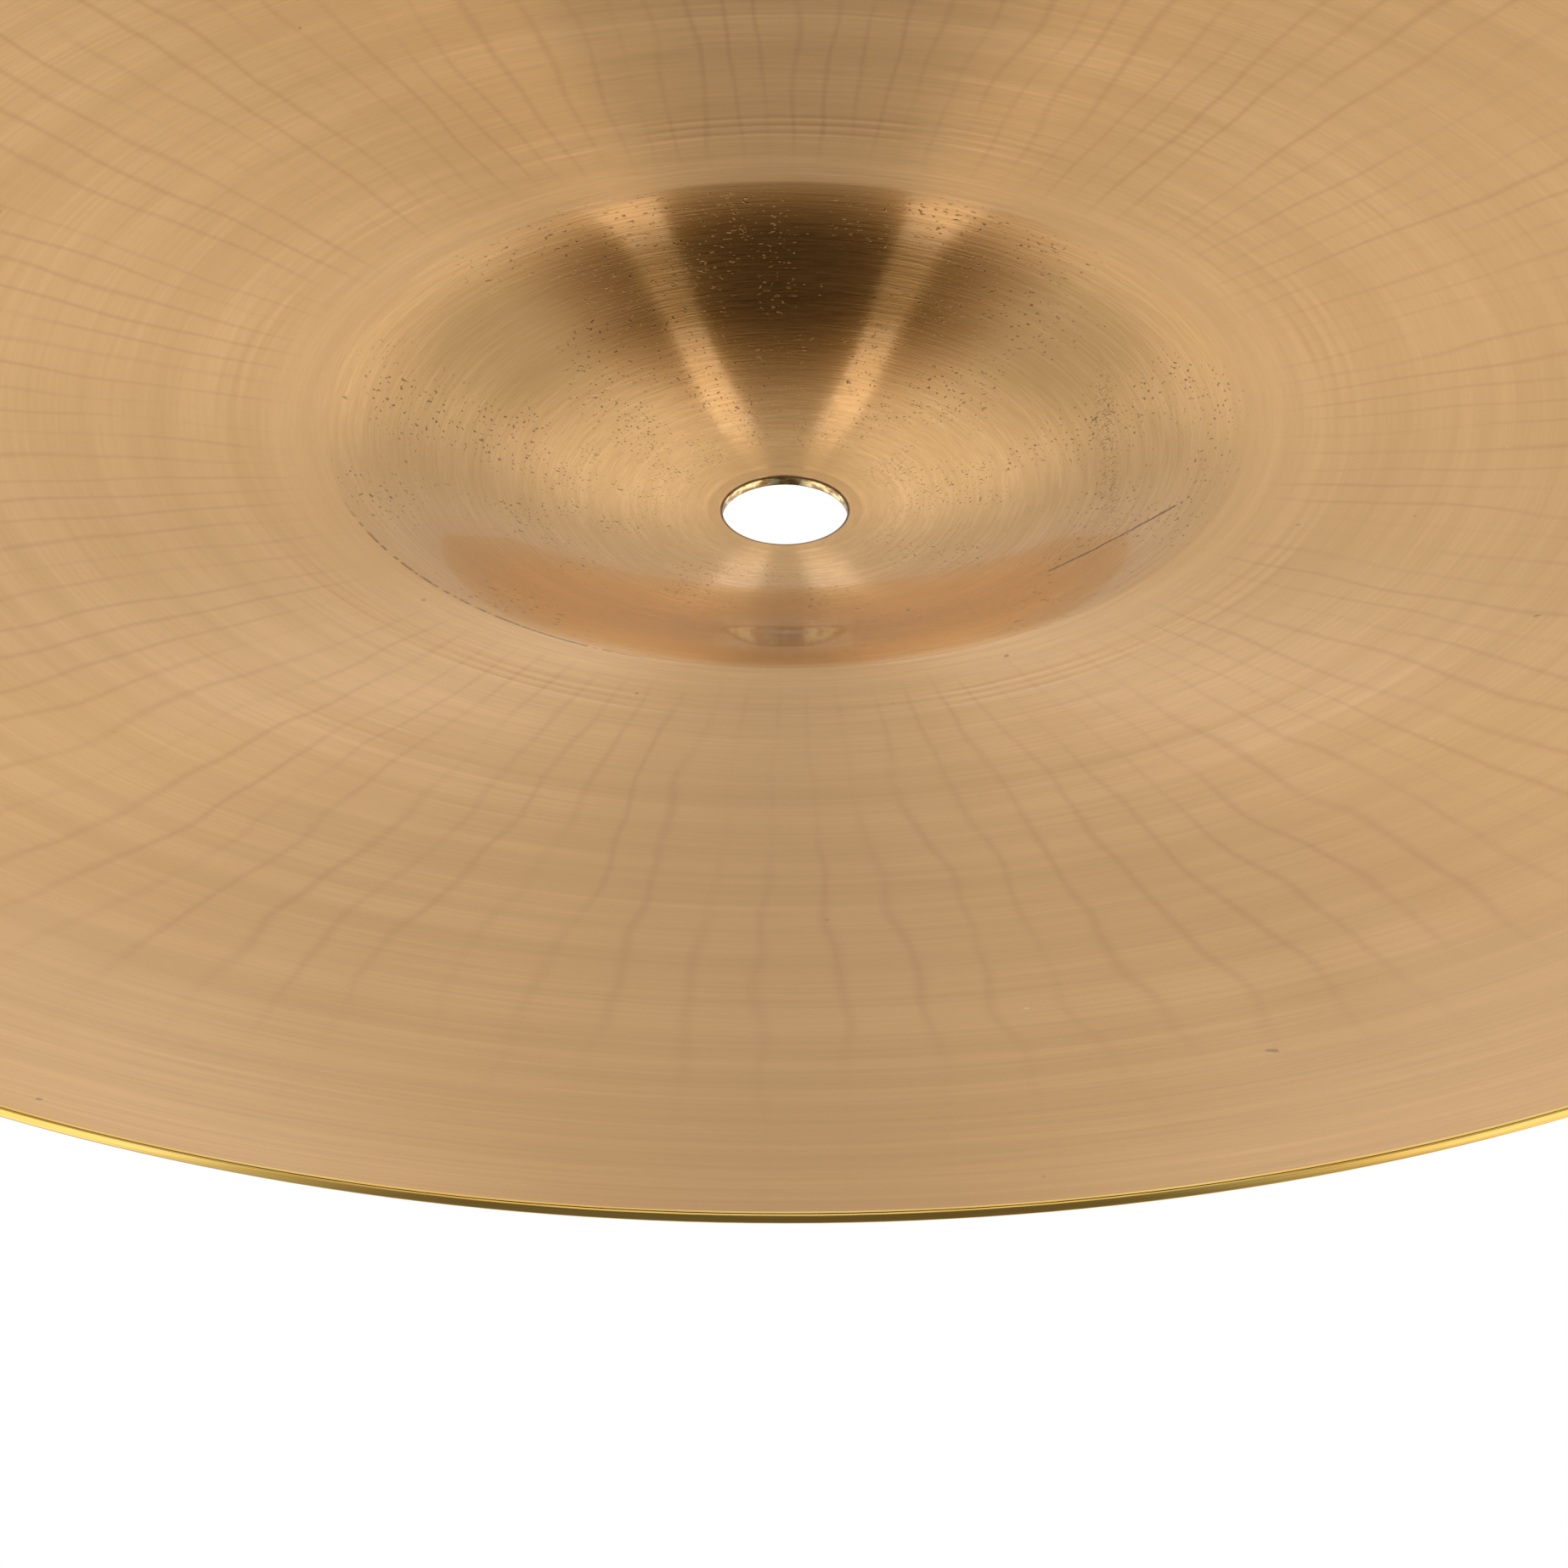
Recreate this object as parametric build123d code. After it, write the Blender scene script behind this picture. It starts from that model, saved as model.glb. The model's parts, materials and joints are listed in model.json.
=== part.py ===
from build123d import *

import os
from math import cos, radians, sin, sqrt

# Crash cymbal: one round sheet of brass, pressed, lathed, trimmed and drilled. Millimetres, bell up.
#
# The origin is the centre of the mounting hole, halfway through the sheet. +Z is the cymbal's axis, from the
# hollow underside out through the crown of the bell.
#
# The section is walked from the axis to the edge along the underside. Slopes are in degrees below the
# horizontal, and the top side runs one sheet thickness above the underside.

# Driving dimensions
diameter = 304.8  # 12 inches over the edge
sheet = 1.0  # thickness, the same all over
hole_diameter = 12.5  # mounting hole, for the rod and sleeve of a stand
bell_diameter = 91.6  # in the middle of the bend where the bell meets the bow, on the underside

# Shape of the bell: a dome, a nearly straight wall, and a flare that eases the wall out towards its foot
crown_radius = 81.0  # of the dome
crown_slope = 22.0  # where the dome meets the wall
wall_slope = 22.5  # where the wall meets the flare
flare_width = 7.8  # of the ring between the wall and the foot of the bell
foot_slope = 16.0  # where the flare meets the bend
bend_radius = 3.0  # between bell and bow, on the underside

# Shape of the bow, a shallow arc
bow_inner_slope = 9.0  # just outside the bend
bow_outer_slope = 11.4  # at the edge of the blank

# Edges
trim_width = 2.0  # ring that is cut off the blank to true its edge
edge_round = 0.2  # on both corners of the outer edge
hole_round = 0.1  # on both corners of the hole

# Derived places on the underside
hole_radius = hole_diameter / 2
edge_radius = diameter / 2
dome_height = crown_radius - sqrt(crown_radius**2 - hole_radius**2)  # of the dome's summit over the hole's rim
wall_end = bell_diameter / 2 - flare_width
bend_width = bend_radius * (sin(radians(foot_slope)) - sin(radians(bow_inner_slope)))
flare_end = (bell_diameter - bend_width) / 2
blank_radius = edge_radius + trim_width


class SectionWalk:
    """Walks outwards along the underside and collects the edges of the side that lies `height` above it."""

    def __init__(self, height):
        self.height = height
        self.r = 0.0
        self.z = dome_height - sheet / 2
        self.slope = 0.0
        self.edges = []

    def point(self, r, z, slope):
        """The point on this side that faces a point of the underside."""
        tilt = radians(slope)
        return (r + self.height * sin(tilt), 0, z + self.height * cos(tilt))

    def arc(self, radius, end_slope):
        """An arc of the underside that turns to end_slope. A negative radius bends the other way."""
        start = radians(self.slope)
        points = []
        for share in (0, 0.5, 1):
            slope = self.slope + (end_slope - self.slope) * share
            tilt = radians(slope)
            r = self.r + radius * (sin(tilt) - sin(start))
            z = self.z - radius * (cos(start) - cos(tilt))
            points.append((r, z, slope))
        self.edges.append(ThreePointArc(*[self.point(*p) for p in points]))
        self.r, self.z, self.slope = points[-1]

    def arc_to(self, r, end_slope):
        """The arc that turns to end_slope just as it reaches r."""
        turn = sin(radians(end_slope)) - sin(radians(self.slope))
        self.arc((r - self.r) / turn, end_slope)


def side_of_sheet(height):
    walk = SectionWalk(height)
    walk.arc(crown_radius, crown_slope)
    walk.arc_to(wall_end, wall_slope)
    walk.arc_to(flare_end, foot_slope)
    walk.arc(-bend_radius, bow_inner_slope)
    walk.arc_to(blank_radius, bow_outer_slope)
    return walk.edges


def make_blank():
    """Half the section of the pressed sheet, from its axis to its untrimmed edge."""
    under = side_of_sheet(0)
    top = side_of_sheet(sheet)
    on_axis = Line(under[0] @ 0, top[0] @ 0)
    at_edge = Line(under[-1] @ 1, top[-1] @ 1)
    return make_face(Wire([*under, *top, on_axis, at_edge]))


def corners(section, radius):
    """The corners of the section that lie at one distance from the axis."""
    return [v for v in section.vertices() if abs(v.X - radius) < sheet / 100]


def make_section():
    """The section once the hole is drilled, the edge is trimmed and their corners are rounded."""
    width = edge_radius - hole_radius
    kept = Plane.XZ * Pos((hole_radius + edge_radius) / 2, 0) * Rectangle(width, 2 * edge_radius)
    section = (make_blank() & kept).face()
    section = fillet(corners(section, hole_radius), hole_round)
    return fillet(corners(section, edge_radius), edge_round).face()


os.makedirs("parts", exist_ok=True)
cymbal = revolve(make_section(), Axis.Z, 360)
cymbal.label = "cymbal"
export_step(cymbal, "parts/cymbal.step")
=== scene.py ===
"""Looks of the crash cymbal: one lathed brass sheet, seen from below.

Metres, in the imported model's frame: origin in the mounting hole, +Z out through the crown of the bell.
"""

import json
from math import asin, cos, exp, pi, radians, sin, sqrt

import bpy
from mathutils import Matrix, Vector


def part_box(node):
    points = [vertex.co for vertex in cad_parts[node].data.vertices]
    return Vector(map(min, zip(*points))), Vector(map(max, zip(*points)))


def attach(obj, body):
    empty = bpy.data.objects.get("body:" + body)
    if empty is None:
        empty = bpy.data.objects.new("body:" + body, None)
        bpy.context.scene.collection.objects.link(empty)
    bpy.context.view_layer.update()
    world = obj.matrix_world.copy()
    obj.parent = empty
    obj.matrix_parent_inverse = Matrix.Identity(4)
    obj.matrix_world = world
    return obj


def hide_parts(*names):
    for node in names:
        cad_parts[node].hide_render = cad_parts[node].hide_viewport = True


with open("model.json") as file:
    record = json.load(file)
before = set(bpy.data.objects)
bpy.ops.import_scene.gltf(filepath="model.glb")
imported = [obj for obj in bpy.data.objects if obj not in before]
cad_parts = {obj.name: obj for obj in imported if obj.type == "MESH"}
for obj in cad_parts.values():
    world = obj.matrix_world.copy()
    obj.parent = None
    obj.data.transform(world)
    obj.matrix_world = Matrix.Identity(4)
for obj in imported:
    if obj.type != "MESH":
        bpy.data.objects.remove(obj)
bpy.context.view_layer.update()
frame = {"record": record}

MM = 0.001

# Sizes that the frame gives
lowest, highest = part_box("cymbal")
edge_radius = highest.x
floor_height = lowest.z
hole = next(m for m in frame["record"]["mounts"] if m["name"] == "centre_hole")
hole_radius = hole["dims"]["r_mm"] * MM

# Section of the sheet, the same as the CAD model's
sheet = 1.0 * MM
crown_radius = 81.0 * MM
crown_slope = radians(22.0)
wall_slope = radians(22.5)
flare_width = 7.8 * MM
foot_slope = radians(16.0)
bell_radius = 45.8 * MM
bend_radius = 3.0 * MM
bow_inner_slope = radians(9.0)
bow_outer_slope = radians(11.4)
trim_width = 2.0 * MM
edge_round = 0.2 * MM
hole_round = 0.1 * MM

# Soft unevenness left by pressing
wave_height = 0.012 * MM

# Brass tones
brass_pale = (0.71, 0.42, 0.175, 1.0)
brass_warm = (0.675, 0.39, 0.155, 1.0)
brass_deep = (0.565, 0.315, 0.110, 1.0)
brass_red = (0.48, 0.24, 0.09, 1.0)
brass_dark = (0.12, 0.055, 0.02, 1.0)
brass_light = (0.92, 0.78, 0.55, 1.0)
brass_grazing = (0.93, 0.87, 0.77, 1.0)
cut_pale = (0.95, 0.66, 0.18, 1.0)
cut_warm = (0.88, 0.54, 0.12, 1.0)
# The hole wall's two tones are a painted highlight and a painted shade, which its material mixes at random
hole_painted_highlight = (0.98, 0.80, 0.42, 1.0)
hole_painted_shade = (0.30, 0.15, 0.05, 1.0)

# Brushing
brush_depth = 0.004 * MM
brush_anisotropy = 1.0
line_count = 112.0
line_wobble = 9.0
line_sharpness = 14.0
line_redness = 0.36

# Wear of the underside: one long scratch in the bell, a pitted side of the bell, and pits along its foot
scratch_angle = radians(30.0)
scratch_reach = 0.8 * bell_radius
scratch_lean = radians(60.0)
scratch_length = 15.0 * MM
scratch_width = 0.24 * MM
scratch_darkness = 0.8
pitted_side = 0.7 * bell_radius
pitted_width = 1.5 * MM
foot_pits_angle = radians(132.0)

# Light of the room, apart from the soft boxes
horizon_light = 0.76
cove_light = 1.24
ceiling_light = 0.03
ceiling_tone = (1.0, 0.62, 0.28, 1.0)
cove_from = sin(radians(18))
cove_full = sin(radians(36))
cove_top = sin(radians(50))
ceiling_from = sin(radians(76))
side_light = 0.48
side_range = (0.20, 0.75)
middle_light = 0.62
middle_range = (0.03, 0.14)
middle_rise = (sin(radians(24)), sin(radians(34)))
glow_light = 0.80
glow_start = (0.010, 0.026)
glow_end = (0.046, 0.064)
glow_rise = (0.30, 0.42)
overhead_light = 0.50
wing_light = 1.45
wing_range = (0.48, 0.62)
wing_top = (0.75, 0.92)
door_light = 0.14
door_range = (0.36, 0.50)
door_depth = (0.35, 0.60)
above_horizon = (0.0, 0.05)

# Soft boxes. The strips make the two streaks in the bell
strip_aside = 0.134
strip_back = 0.60
strip_turn = 0.105
strip_distance = 1.2
strip_size = (0.07, 0.42)
strip_power = 0.07
above_direction = (0.2, -0.3, 1.0)
above_distance = 2.5
above_size = (2.4, 2.4)
above_power = 7.0

# Camera
camera_rise = radians(32.45)
camera_dip = radians(34.69)
camera_distance = 0.700
camera_aside = -0.0001
camera_lens = 160.8

# Fineness of the mesh
turn_steps = 360
round_steps = 5
bell_step = 1.0 * MM
bow_step = 2.0 * MM
groove_step = 0.15 * MM

# Lathe grooves
seat_groove_gap = 1.5 * MM
foot_groove_spacing = 1.3 * MM
middle_groove_spacing = 2.5 * MM
groove_half_width = 0.3 * MM


def groove_band(middle, count, spacing, depth):
    """A band of lathe grooves that are deep enough to see, cut into both sides, as (radius, depth)."""
    return [(middle + (i - (count - 1) / 2) * spacing, depth) for i in range(count)]


lathe_grooves = groove_band(hole_radius + seat_groove_gap, 1, 0.0, 0.020 * MM)
lathe_grooves += groove_band(1.2 * bell_radius, 3, foot_groove_spacing, 0.025 * MM)
lathe_grooves += groove_band(edge_radius / 2, 3, middle_groove_spacing, 0.012 * MM)
lathe_grooves += groove_band(0.75 * edge_radius, 1, 0.0, 0.010 * MM)


# Section

def section_stretches():
    """The underside from the axis outwards: start, end, curvature radius, then slope and height at start."""
    stretches = []
    dome_height = crown_radius - sqrt(crown_radius**2 - hole_radius**2)
    r, z, slope = 0.0, dome_height - sheet / 2, 0.0

    def arc(radius, end_slope):
        nonlocal r, z, slope
        end = r + radius * (sin(end_slope) - sin(slope))
        stretches.append((r, end, radius, slope, z))
        z -= radius * (cos(slope) - cos(end_slope))
        r, slope = end, end_slope

    def arc_to(end, end_slope):
        arc((end - r) / (sin(end_slope) - sin(slope)), end_slope)

    arc(crown_radius, crown_slope)
    arc_to(bell_radius - flare_width, wall_slope)
    bend_width = bend_radius * (sin(foot_slope) - sin(bow_inner_slope))
    arc_to(bell_radius - bend_width / 2, foot_slope)
    arc(-bend_radius, bow_inner_slope)
    arc_to(edge_radius + trim_width, bow_outer_slope)
    return stretches


STRETCHES = section_stretches()


def underside(r):
    """Height and slope of the underside at a radius."""
    for start, end, radius, slope, z in STRETCHES:
        if r <= end:
            break
    here = asin(sin(slope) + (r - start) / radius)
    return z - radius * (cos(slope) - cos(here)), here


def groove_depth(r):
    return sum(depth * exp(-(((r - at) / groove_half_width) ** 2)) for at, depth in lathe_grooves)


def radii_across_sheet():
    """Radii where the section gets a point: close together at the bend and in the grooves."""
    radii = []
    r = hole_radius + 2 * hole_round
    while r < edge_radius - 2 * edge_round - bow_step / 2:
        radii.append(r)
        near_groove = any(abs(r - at) < 2.5 * groove_half_width for at, _ in lathe_grooves)
        near_bend = abs(r - bell_radius) < 1.2 * MM
        if near_groove:
            r += groove_step
        elif near_bend:
            r += 2 * groove_step
        else:
            r += bell_step if r < bell_radius else bow_step
    return radii + [edge_radius - 2 * edge_round]


def side_point(r, height, depth):
    """A section point that lies height above the underside, and depth below its own side's surface."""
    z, slope = underside(r)
    inward = depth if height == 0 else -depth
    return (r + (height + inward) * sin(slope), z + (height + inward) * cos(slope))


def corner_points(centre, radius, start, end):
    """Points on a rounded corner, from one angle to another."""
    angles = [start + (end - start) * i / round_steps for i in range(round_steps + 1)]
    return [(centre[0] + radius * cos(a), centre[1] + radius * sin(a)) for a in angles]


def section_points():
    """The closed outline of the section: out along the underside, round the edge and back along the top."""
    radii = radii_across_sheet()
    under = [side_point(r, 0, groove_depth(r)) for r in radii]
    top = [side_point(r, sheet, groove_depth(r)) for r in radii]
    top = [p for p in top if hole_radius + hole_round < p[0] < edge_radius - 1.5 * edge_round]

    z, slope = underside(edge_radius - edge_round)
    low = (edge_radius - edge_round, z + edge_round / cos(slope))
    high = (edge_radius - edge_round, z + (sheet - edge_round) / cos(slope))
    outer = corner_points(low, edge_round, -pi / 2 - slope, 0)
    outer += corner_points(high, edge_round, 0, pi / 2 - slope)

    z, slope = underside(hole_radius + hole_round)
    high = (hole_radius + hole_round, z + (sheet - hole_round) / cos(slope))
    low = (hole_radius + hole_round, z + hole_round / cos(slope))
    inner = corner_points(high, hole_round, pi / 2 - slope, pi)
    inner += corner_points(low, hole_round, pi, 1.5 * pi - slope)
    return under, outer, top[::-1], inner


# Mesh

def wave(r, angle):
    """How far the pressed sheet strays from a surface of revolution. It dies out at the bell and the edge."""
    along = min(max((r - bell_radius) / (edge_radius - bell_radius), 0.0), 1.0)
    swell = sin(pi * along) ** 2
    ripple = sin(9 * angle + 3.0 * sin(2 * angle)) + 0.8 * sin(23 * angle + 40 * r + 2.0 * sin(5 * angle))
    ripple += 0.6 * sin(41 * angle - 55 * r + 1.7)
    return wave_height * swell * ripple


def make_cymbal(materials):
    """The sheet as one closed mesh. The materials are those of the underside, outer edge, top and hole."""
    under, outer, top, inner = section_points()
    outline = under + outer + top + inner
    finish = [0] * len(under) + [1] * len(outer) + [2] * len(top) + [3] * len(inner)
    count = len(outline)
    verts, faces, finishes = [], [], []
    for turn in range(turn_steps):
        angle = 2 * pi * turn / turn_steps
        verts += [(r * cos(angle), r * sin(angle), z + wave(r, angle)) for r, z in outline]
        following = (turn + 1) % turn_steps
        for i in range(count):
            j = (i + 1) % count
            faces.append((turn * count + i, following * count + i, following * count + j, turn * count + j))
            pair = {finish[i], finish[j]}
            finishes.append(finish[i] if len(pair) == 1 else 3 if 3 in pair else 1)
    mesh = bpy.data.meshes.new("cymbal_sheet")
    mesh.from_pydata(verts, [], faces)
    for material in materials:
        mesh.materials.append(material)
    mesh.polygons.foreach_set("material_index", finishes)
    mesh.polygons.foreach_set("use_smooth", [True] * len(faces))
    mesh.validate()
    piece = bpy.data.objects.new("cymbal_sheet", mesh)
    bpy.context.scene.collection.objects.link(piece)
    return piece


# Materials

class Nodes:
    """Short calls for building a node tree. Values may be numbers or the outputs of other nodes."""

    def __init__(self, tree):
        self.tree = tree

    def add(self, kind, settings=(), inputs=()):
        node = self.tree.nodes.new(kind)
        for name, value in dict(settings).items():
            setattr(node, name, value)
        for name, value in dict(inputs).items():
            self.put(node.inputs[name], value)
        return node

    def put(self, socket, value):
        if isinstance(value, bpy.types.NodeSocket):
            self.tree.links.new(value, socket)
        else:
            socket.default_value = value

    def math(self, operation, a, b=0.0, clamp=False):
        node = self.add("ShaderNodeMath", {"operation": operation, "use_clamp": clamp})
        self.put(node.inputs[0], a)
        self.put(node.inputs[1], b)
        return node.outputs[0]

    def ramp(self, value, low, high, to_low=0.0, to_high=1.0):
        """A smooth step from low to high."""
        node = self.add(
            "ShaderNodeMapRange",
            {"interpolation_type": "SMOOTHSTEP"},
            {"Value": value, "From Min": low, "From Max": high, "To Min": to_low, "To Max": to_high},
        )
        return node.outputs["Result"]

    def noise(self, vector, scale=1.0, detail=2.0, roughness=0.5):
        node = self.add(
            "ShaderNodeTexNoise",
            {},
            {"Vector": vector, "Scale": scale, "Detail": detail, "Roughness": roughness},
        )
        return node.outputs["Fac"]

    def combine(self, x, y, z):
        return self.add("ShaderNodeCombineXYZ", {}, {"X": x, "Y": y, "Z": z}).outputs[0]

    def mix_value(self, share, a, b):
        node = self.add("ShaderNodeMix", {"data_type": "FLOAT"})
        self.put(node.inputs[0], share)
        self.put(node.inputs[2], a)
        self.put(node.inputs[3], b)
        return node.outputs[0]

    def mix(self, share, a, b, blend="MIX"):
        node = self.add("ShaderNodeMix", {"data_type": "RGBA", "blend_type": blend})
        self.put(node.inputs[0], share)
        self.put(node.inputs[6], a)
        self.put(node.inputs[7], b)
        return node.outputs[2]


def round_the_axis(n):
    """Place, radius in mm, angle, and a maker of noise that is stretched along circles about the axis."""
    place = n.add("ShaderNodeTexCoord").outputs["Object"]
    split = n.add("ShaderNodeSeparateXYZ", {}, {"Vector": place})
    x, y = split.outputs["X"], split.outputs["Y"]
    radius = n.math("SQRT", n.math("ADD", n.math("MULTIPLY", x, x), n.math("MULTIPLY", y, y)))
    radius_mm = n.math("DIVIDE", radius, MM)
    across, along = n.math("DIVIDE", x, radius), n.math("DIVIDE", y, radius)
    angle = n.math("ARCTAN2", y, x)

    def streaks(per_mm, per_radian, detail=2.0, roughness=0.5, shift=0.0):
        vector = n.combine(
            n.math("ADD", n.math("MULTIPLY", across, per_radian), shift),
            n.math("MULTIPLY", along, per_radian),
            n.math("MULTIPLY", radius_mm, per_mm),
        )
        return n.noise(vector, 1.0, detail, roughness)

    return place, radius_mm, angle, streaks


def radiating_lines(n, radius_mm, angle, streaks, shift):
    """Mask of thin wavy lines that run outwards from the bell."""
    wobble = streaks(0.035, 6.0, 2.0, 0.5, shift + 13.0)
    phase = n.math("ADD", n.math("MULTIPLY", angle, line_count), n.math("MULTIPLY", wobble, line_wobble))
    crest = n.math("ADD", n.math("MULTIPLY", n.math("COSINE", phase), 0.5), 0.5)
    line = n.math("POWER", crest, line_sharpness)
    reach = n.ramp(radius_mm, 46.0, 56.0)
    reach = n.math("MULTIPLY", reach, n.ramp(radius_mm, 105.0, 140.0, 1.0, 0.1))
    patchy = n.ramp(streaks(0.022, 11.0, 2.0, 0.6, shift + 17.0), 0.32, 0.62, 0.15, 1.0)
    return n.math("MULTIPLY", line, n.math("MULTIPLY", patchy, reach))


def bell_pits(n, radius_mm, in_bell, streaks, shift):
    """Mask of pits scattered over the bell, away from the hole."""
    off_hole = n.ramp(radius_mm, 8.0, 14.0, 0.0, 1.0)
    speck = streaks(3.0, 60.0, 1.0, 0.5, shift + 21.0)
    where = n.ramp(streaks(0.10, 3.0, 2.0, 0.5, shift + 25.0), 0.40, 0.60)
    pit = n.math("MULTIPLY", n.ramp(speck, 0.655, 0.72), where)
    return n.math("MULTIPLY", pit, n.math("MULTIPLY", in_bell, off_hole))


def scratch_mask(n, x_mm, y_mm, jag):
    """Mask of the long scratch: a line with soft ends, and sides that stray a little."""
    c, s = cos(scratch_angle - scratch_lean), sin(scratch_angle - scratch_lean)
    dx = n.math("SUBTRACT", x_mm, scratch_reach / MM * cos(scratch_angle))
    dy = n.math("SUBTRACT", y_mm, scratch_reach / MM * sin(scratch_angle))
    along = n.math("ADD", n.math("MULTIPLY", dx, c), n.math("MULTIPLY", dy, s))
    across = n.math("SUBTRACT", n.math("MULTIPLY", dy, c), n.math("MULTIPLY", dx, s))
    across = n.math("ABSOLUTE", n.math("ADD", across, jag))
    half = scratch_length / MM / 2
    sides = n.ramp(across, scratch_width / MM / 2, scratch_width / MM, scratch_darkness, 0.0)
    return n.math("MULTIPLY", sides, n.ramp(n.math("ABSOLUTE", along), half - 0.4, half, 1.0, 0.0))


def wear_mask(n, place, radius_mm, in_bell, streaks, shift):
    """Mask of the underside's wear: pits along the foot of the bell, the long scratch and the pitted side."""
    split = n.add("ShaderNodeSeparateXYZ", {}, {"Vector": place})
    x_mm, y_mm = n.math("DIVIDE", split.outputs["X"], MM), n.math("DIVIDE", split.outputs["Y"], MM)
    c, s = cos(foot_pits_angle), sin(foot_pits_angle)
    facing = n.math("ADD", n.math("MULTIPLY", x_mm, c), n.math("MULTIPLY", y_mm, s))
    facing = n.math("DIVIDE", facing, radius_mm)
    from_foot = n.math("ABSOLUTE", n.math("SUBTRACT", radius_mm, bell_radius / MM))
    foot = n.math("MULTIPLY", n.ramp(from_foot, 0.04, 0.24, 1.0, 0.0), n.ramp(facing, 0.86, 0.97))
    foot = n.math("MULTIPLY", foot, n.ramp(streaks(0.5, 45.0, 2.0, 0.6, shift + 29.0), 0.36, 0.52))
    jag = streaks(1.2, 40.0, 2.0, 0.6, shift + 33.0)
    jag = n.math("MULTIPLY", n.math("SUBTRACT", jag, 0.5), 0.5)
    beside = n.math("ABSOLUTE", n.math("ADD", n.math("SUBTRACT", x_mm, pitted_side / MM), jag))
    pitted = n.math("MULTIPLY", n.ramp(beside, 0.4, pitted_width / MM, 1.0, 0.0), in_bell)
    pitted = n.math("MULTIPLY", pitted, n.ramp(n.math("ABSOLUTE", y_mm), 8.0, 20.0, 1.0, 0.0))
    grains = n.ramp(streaks(3.0, 90.0, 2.0, 0.6, shift + 37.0), 0.54, 0.64, 0.0, 0.35)
    worn = n.math("MAXIMUM", n.math("MULTIPLY", foot, 0.7), scratch_mask(n, x_mm, y_mm, jag))
    return n.math("MAXIMUM", worn, n.math("MULTIPLY", pitted, grains))


def lathed_brass(name, shift, worn):
    """Satin brass, brushed in circles. shift moves the pattern, so that the two sides differ."""
    material = bpy.data.materials.new(name)
    material.use_nodes = True
    shader = material.node_tree.nodes["Principled BSDF"]
    n = Nodes(material.node_tree)
    place, radius_mm, angle, streaks = round_the_axis(n)
    in_bell = n.ramp(radius_mm, 43.0, 47.0, 1.0, 0.0)

    # Brushing, from the finest marks to the broad rings
    fine = streaks(6.0, 12.0, 2.0, 0.6, shift)
    coarse = streaks(2.4, 3.5, 3.0, 0.7, shift + 5.0)
    rings = streaks(0.30, 0.5, 3.0, 0.55, shift + 9.0)
    clouds = n.noise(place, 22.0, 3.0, 0.5)

    # Marks: a few nicks, dark and light, and the pits; and a painted shade round the rim of the hole
    nicks = n.noise(place, 420.0, 1.0, 0.5)
    light = n.ramp(nicks, 0.12, 0.16, 0.35, 0.0)
    dark = n.ramp(nicks, 0.81, 0.85, 0.0, 0.5)
    if worn:
        dark = n.math("MAXIMUM", dark, wear_mask(n, place, radius_mm, in_bell, streaks, shift))
    pits = bell_pits(n, radius_mm, in_bell, streaks, shift)
    dark = n.math("MAXIMUM", dark, n.math("MULTIPLY", pits, 0.7))
    # Painted shade: a dark ring round the rim of the hole, on both sides of the sheet
    hole_mm = hole_radius / MM
    dark = n.math("MAXIMUM", dark, n.ramp(radius_mm, hole_mm + 0.10, hole_mm + 0.35, 0.85, 0.0))

    colour = n.mix(n.ramp(clouds, 0.3, 0.7), brass_pale, brass_warm)
    colour = n.mix(n.ramp(rings, 0.30, 0.70, 0.0, 0.5), colour, brass_deep)
    brushed = n.math("MULTIPLY", n.ramp(coarse, 0.30, 0.70), n.ramp(in_bell, 0.0, 1.0, 0.25, 0.75))
    colour = n.mix(brushed, colour, brass_deep)
    colour = n.mix(n.ramp(radius_mm, 7.5, 12.5, 0.45, 0.0), colour, brass_deep)
    lines = radiating_lines(n, radius_mm, angle, streaks, shift)
    colour = n.mix(n.math("MULTIPLY", lines, line_redness), colour, brass_red)
    # dark holds the marks and the painted shade round the hole
    colour = n.mix(dark, colour, brass_dark)
    colour = n.mix(light, colour, brass_light)
    n.put(shader.inputs["Base Color"], colour)

    roughness = n.math("ADD", n.math("MULTIPLY", fine, 0.10), n.math("MULTIPLY", coarse, 0.08))
    roughness = n.math("ADD", roughness, n.ramp(in_bell, 0.0, 1.0, 0.15, 0.05))
    n.put(shader.inputs["Roughness"], roughness)

    height = n.math("ADD", fine, n.math("MULTIPLY", coarse, n.ramp(in_bell, 0.0, 1.0, 1.2, 3.0)))
    height = n.math("SUBTRACT", height, n.math("MULTIPLY", dark, 8.0))
    bump = n.add("ShaderNodeBump", {}, {"Strength": 1.0, "Distance": brush_depth, "Height": height})
    n.put(shader.inputs["Normal"], bump.outputs["Normal"])

    tangent = n.add("ShaderNodeTangent", {"direction_type": "RADIAL", "axis": "Z"})
    n.put(shader.inputs["Tangent"], tangent.outputs["Tangent"])
    shader.inputs["Metallic"].default_value = 1.0
    shader.inputs["Anisotropic"].default_value = brush_anisotropy
    shader.inputs["Anisotropic Rotation"].default_value = 0.25
    shader.inputs["Specular Tint"].default_value = brass_grazing
    shader.inputs["Coat Weight"].default_value = 0.45
    shader.inputs["Coat Roughness"].default_value = 0.04
    shader.inputs["Coat IOR"].default_value = 1.5
    return material


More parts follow.
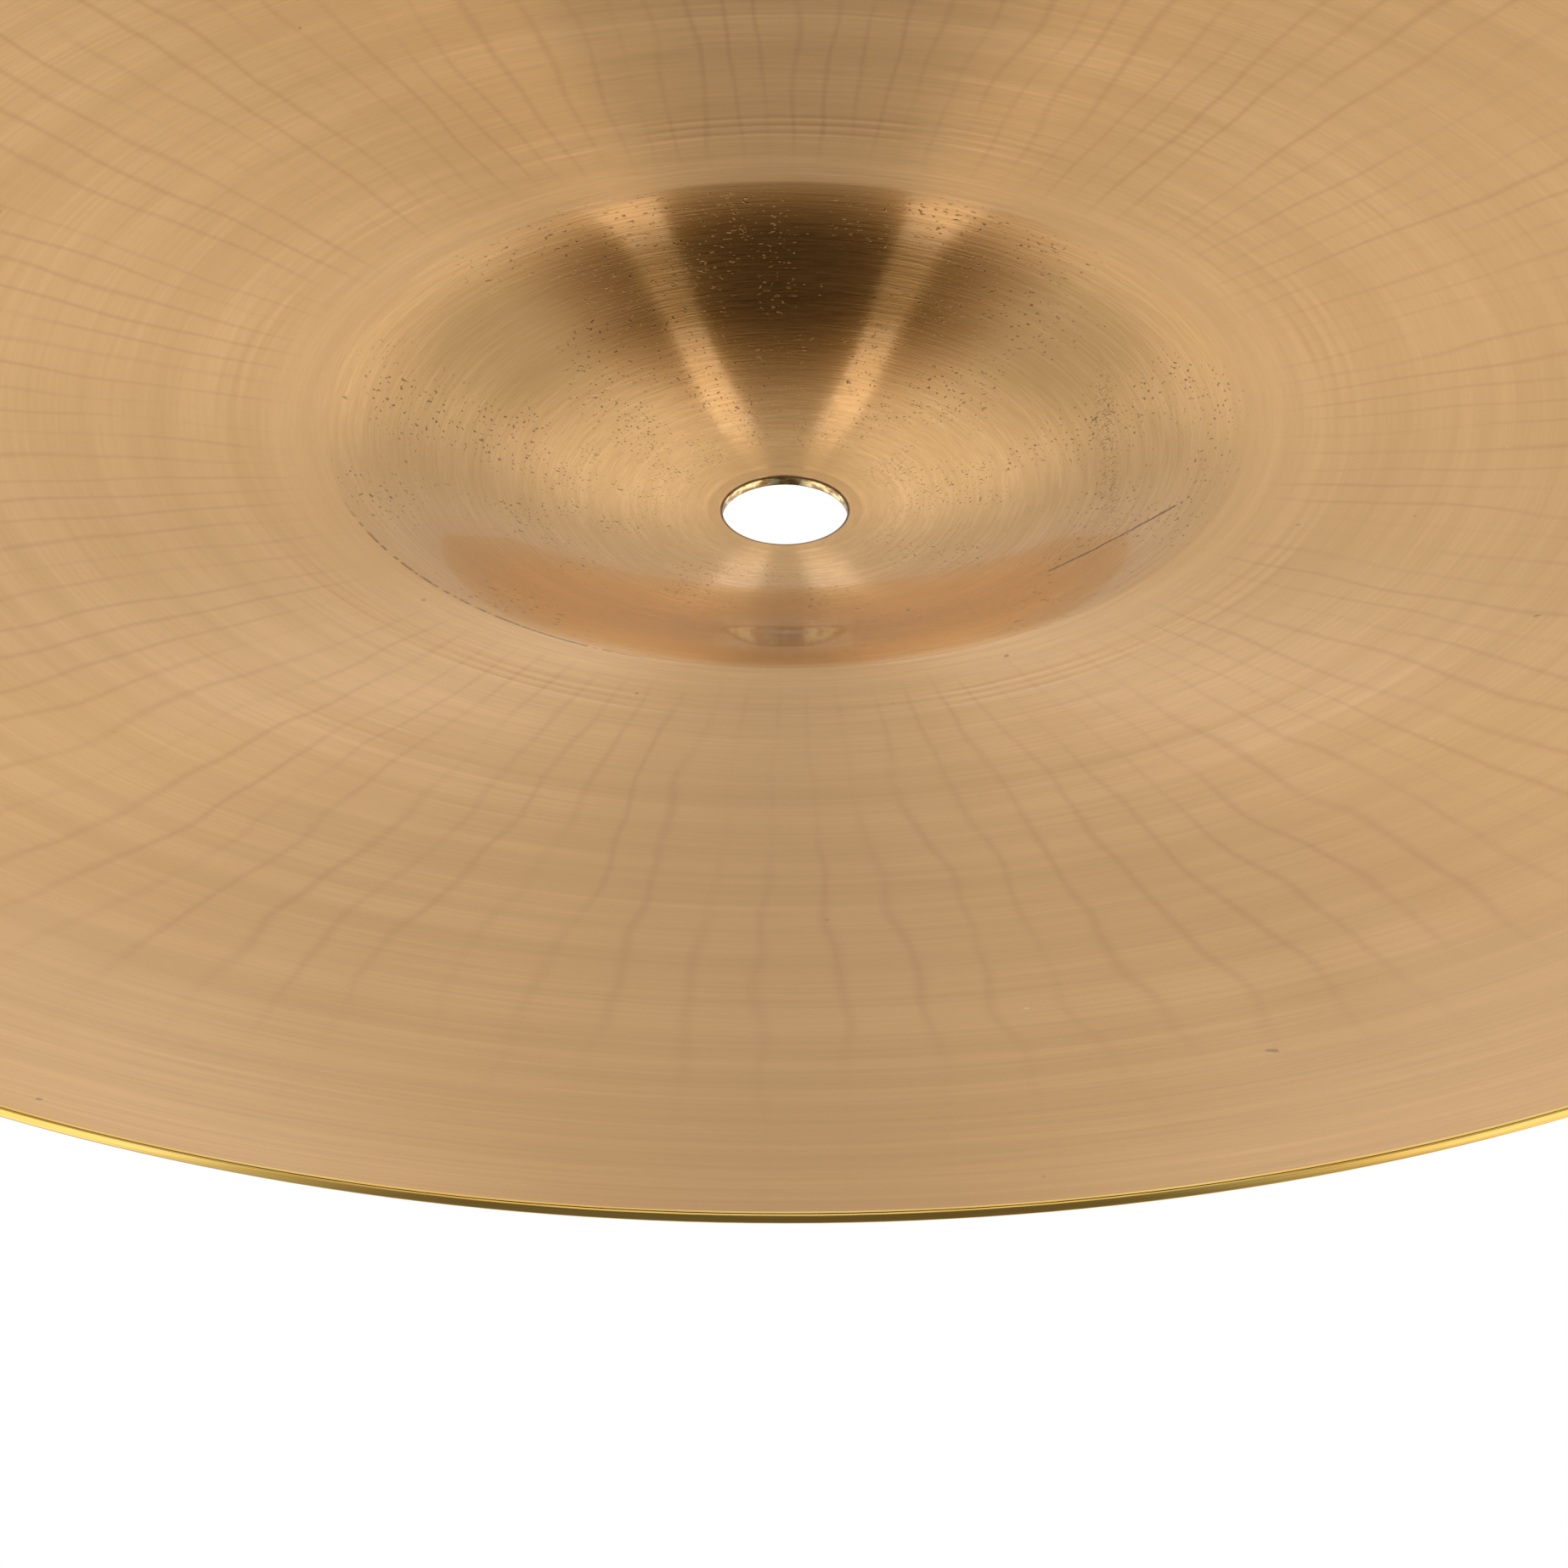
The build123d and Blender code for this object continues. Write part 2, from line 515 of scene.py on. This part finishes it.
def cut_brass(name, pale, warm, lip_painted_shade, smoothest):
    """A cut wall, with fine marks along the cut, and lips darkened by painted shade where it meets the two
    sides of the sheet.
    """
    material = bpy.data.materials.new(name)
    material.use_nodes = True
    shader = material.node_tree.nodes["Principled BSDF"]
    n = Nodes(material.node_tree)
    place, radius_mm, angle, streaks = round_the_axis(n)
    height_mm = n.math("DIVIDE", n.add("ShaderNodeSeparateXYZ", {}, {"Vector": place}).outputs["Z"], MM)
    vector = n.combine(n.math("MULTIPLY", angle, 3.0), n.math("MULTIPLY", height_mm, 9.0), radius_mm)
    marks = n.noise(vector, 1.0, 3.0, 0.6)
    vector = n.combine(n.math("MULTIPLY", angle, 5.0), n.math("MULTIPLY", height_mm, 2.0), radius_mm)
    nicks = n.noise(vector, 1.0, 3.0, 0.7)
    # For the hole wall, pale and warm are a painted highlight and a painted shade
    colour = n.mix(n.ramp(nicks, 0.40, 0.60), pale, warm)
    colour = n.mix(n.ramp(marks, 0.3, 0.8, 0.0, 0.5), colour, brass_deep)
    # Painted shade: the wall darkens towards both lips
    lip_shade_mask = n.ramp(n.math("ABSOLUTE", height_mm), 0.30, 0.42, 0.0, lip_painted_shade)
    colour = n.mix(lip_shade_mask, colour, brass_dark)
    n.put(shader.inputs["Base Color"], colour)
    n.put(shader.inputs["Roughness"], n.math("ADD", n.math("MULTIPLY", marks, 0.2), smoothest))
    height = n.math("ADD", marks, n.math("MULTIPLY", nicks, 2.0))
    bump = n.add("ShaderNodeBump", {}, {"Strength": 1.0, "Distance": 2.0 * brush_depth, "Height": height})
    n.put(shader.inputs["Normal"], bump.outputs["Normal"])
    shader.inputs["Metallic"].default_value = 1.0
    return material


# Stage

def look_from(camera, place, forward, up):
    right = forward.cross(up)
    turn = Matrix((right, up, -forward)).transposed()
    camera.matrix_world = Matrix.Translation(place) @ turn.to_4x4()


def make_camera():
    """Below the cymbal and upside down, so that the underside shows as a bowl, near edge at the bottom."""
    data = bpy.data.cameras.new("camera")
    data.sensor_width = 36.0
    data.lens = camera_lens
    data.clip_start, data.clip_end = 0.01, 100.0
    camera = bpy.data.objects.new("camera", data)
    bpy.context.scene.collection.objects.link(camera)
    out, down = camera_distance * cos(camera_rise), camera_distance * sin(camera_rise)
    place = Vector((camera_aside, out, -sheet / 2 - down))
    forward = Vector((0.0, -cos(camera_dip), sin(camera_dip)))
    up = Vector((0.0, -sin(camera_dip), -cos(camera_dip)))
    look_from(camera, place, forward, up)
    bpy.context.scene.camera = camera


def make_light(name, direction, along, distance, size, power):
    """A soft box that looks at the cymbal from a direction, with its length in the direction along."""
    data = bpy.data.lights.new(name, "AREA")
    data.shape = "RECTANGLE"
    data.size, data.size_y = size
    data.energy = power
    light = bpy.data.objects.new(name, data)
    bpy.context.scene.collection.objects.link(light)
    away = Vector(direction).normalized()
    side = Vector(along).cross(away).normalized()
    turn = Matrix((side, away.cross(side), away)).transposed()
    light.matrix_world = Matrix.Translation(away * distance) @ turn.to_4x4()
    light.visible_camera = False
    return light


def make_floor():
    """A pale floor that the cymbal lies on. It shows only from above, so the camera looks through it."""
    half = 6.0
    mesh = bpy.data.meshes.new("floor")
    corners = [(-half, -half, floor_height), (half, -half, floor_height)]
    corners += [(half, half, floor_height), (-half, half, floor_height)]
    mesh.from_pydata(corners, [], [(0, 1, 2, 3)])
    material = bpy.data.materials.new("floor")
    material.use_nodes = True
    tree = material.node_tree
    n = Nodes(tree)
    front = tree.nodes["Principled BSDF"]
    front.inputs["Base Color"].default_value = (0.86, 0.86, 0.855, 1.0)
    front.inputs["Roughness"].default_value = 0.8
    clear = n.add("ShaderNodeBsdfTransparent")
    geometry = n.add("ShaderNodeNewGeometry")
    mix = n.add("ShaderNodeMixShader")
    tree.links.new(geometry.outputs["Backfacing"], mix.inputs[0])
    tree.links.new(front.outputs[0], mix.inputs[1])
    tree.links.new(clear.outputs[0], mix.inputs[2])
    tree.links.new(mix.outputs[0], tree.nodes["Material Output"].inputs["Surface"])
    mesh.materials.append(material)
    floor = bpy.data.objects.new("floor", mesh)
    bpy.context.scene.collection.objects.link(floor)
    floor.visible_shadow = False
    floor.visible_diffuse = False
    floor.visible_glossy = False


def make_world():
    """A white cove all round, under a dark ceiling. What the camera sees of the room is plain white."""
    world = bpy.data.worlds.new("studio")
    bpy.context.scene.world = world
    world.use_nodes = True
    tree = world.node_tree
    tree.nodes.clear()
    n = Nodes(tree)
    direction = n.add("ShaderNodeTexCoord").outputs["Generated"]
    split = n.add("ShaderNodeSeparateXYZ", {}, {"Vector": direction})
    height = split.outputs["Z"]
    depth = n.math("ABSOLUTE", height)
    across = n.math("ABSOLUTE", split.outputs["X"])

    # Below: a cove, brightest at mid height, with a dim upright band in its middle and dimmer sides
    cove = n.ramp(depth, cove_from, cove_full, horizon_light, cove_light)
    back = n.math("MAXIMUM", n.math("ABSOLUTE", split.outputs["Y"]), 0.05)
    cove = n.math("MULTIPLY", cove, n.ramp(n.math("DIVIDE", across, back), *side_range, 1.0, side_light))
    middle = n.ramp(depth, *middle_rise, 1.0, middle_light)
    cove = n.math("MULTIPLY", cove, n.ramp(across, *middle_range, middle, 1.0))
    glow = n.math("MULTIPLY", n.ramp(across, *glow_start), n.ramp(across, *glow_end, 1.0, 0.0))
    glow = n.math("MULTIPLY", glow, n.ramp(depth, *glow_rise, glow_light, 0.0))
    cove = n.math("MULTIPLY", cove, n.math("ADD", glow, 1.0))
    ceiling = n.ramp(n.math("SUBTRACT", 0.0, height), cove_top, ceiling_from)
    below = n.mix_value(ceiling, cove, ceiling_light)
    tone = n.mix(ceiling, (1.0, 1.0, 1.0, 1.0), ceiling_tone)

    # Above: an even grey, brighter at both sides, with a dark door on the +Y side
    wings = n.math("MULTIPLY", n.ramp(across, *wing_range), n.ramp(height, *wing_top, 1.0, 0.0))
    above = n.mix_value(wings, overhead_light, wing_light)
    door = n.math("MULTIPLY", n.ramp(split.outputs["Y"], *door_depth), n.ramp(across, *door_range, 1.0, 0.0))
    above = n.mix_value(door, above, door_light)
    level = n.mix_value(n.ramp(height, *above_horizon), below, above)
    seen = n.add("ShaderNodeBackground", {}, {"Color": (1.0, 1.0, 1.0, 1.0), "Strength": 1.0})
    light = n.add("ShaderNodeBackground", {}, {"Color": tone, "Strength": level})
    path = n.add("ShaderNodeLightPath")
    mix = n.add("ShaderNodeMixShader")
    tree.links.new(path.outputs["Is Camera Ray"], mix.inputs[0])
    tree.links.new(light.outputs[0], mix.inputs[1])
    tree.links.new(seen.outputs[0], mix.inputs[2])
    out = n.add("ShaderNodeOutputWorld")
    tree.links.new(mix.outputs[0], out.inputs["Surface"])


cymbal = make_cymbal(
    [
        lathed_brass("brass_under", 0.0, worn=True),
        cut_brass("brass_edge", cut_pale, cut_warm, 0.0, 0.10),
        lathed_brass("brass_top", 40.0, worn=False),
        cut_brass("brass_hole", hole_painted_highlight, hole_painted_shade, 0.9, 0.20),
    ]
)
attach(cymbal, "root")
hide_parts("cymbal")

make_floor()
make_world()
for name, hand in (("strip_left", -1), ("strip_right", 1)):
    towards = (hand * strip_aside, -strip_back, -1.0)
    make_light(name, towards, (hand * strip_turn, 0.47, 0.0), strip_distance, strip_size, strip_power)
make_light("above", above_direction, (0.0, 1.0, 0.0), above_distance, above_size, above_power)
make_camera()
bpy.context.scene.view_settings.view_transform = "Standard"
